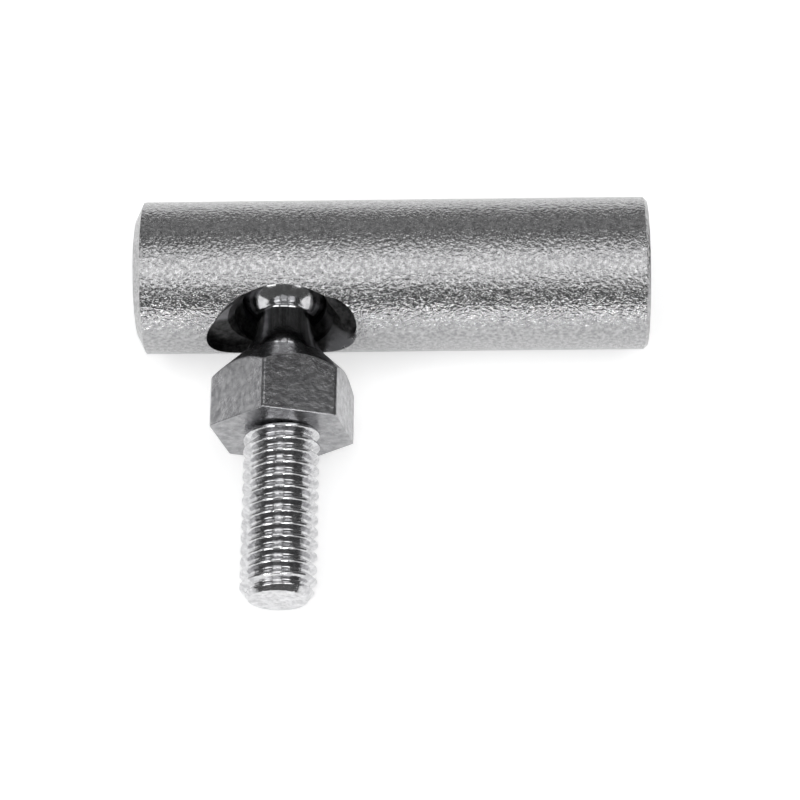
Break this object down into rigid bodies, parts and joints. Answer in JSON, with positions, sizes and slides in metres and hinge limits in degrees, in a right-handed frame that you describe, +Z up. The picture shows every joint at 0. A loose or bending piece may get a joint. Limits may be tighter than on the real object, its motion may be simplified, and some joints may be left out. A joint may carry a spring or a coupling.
{
  "type": "angle ball joint",
  "caption": "Right-angle ball joint: a tapped round socket body with a ball stud staked into its side, to link a threaded rod to a lever.",
  "frame": {"origin": "on the resting plane, under the middle of the whole part's box, as the part lies down", "axes": "+X along the bar toward its tapped end, the stud points to -Y and slightly down, +Z up from the resting plane"},
  "size_m": [0.04, 0.033, 0.012],
  "materials": {
    "zinc_plated_bar": "bright zinc plating over drawn bar, coarse crystalline sparkle",
    "zinc_plated_stud": "bright zinc plating over turned steel, hexagon dull, thread bright"
  },
  "bodies": {
    "socket_body": {"socket_body": "zinc_plated_bar"},
    "ball_stud": {"ball_stud": "zinc_plated_stud"}
  },
  "joints": [
    {"name": "stud_turn", "type": "hinge", "parent": "socket_body", "child": "ball_stud", "pos_m": [-0.0084, 0.01053, 0.006], "axis": [-0.0087, -0.9996, -0.0279], "continuous": true}
  ]
}
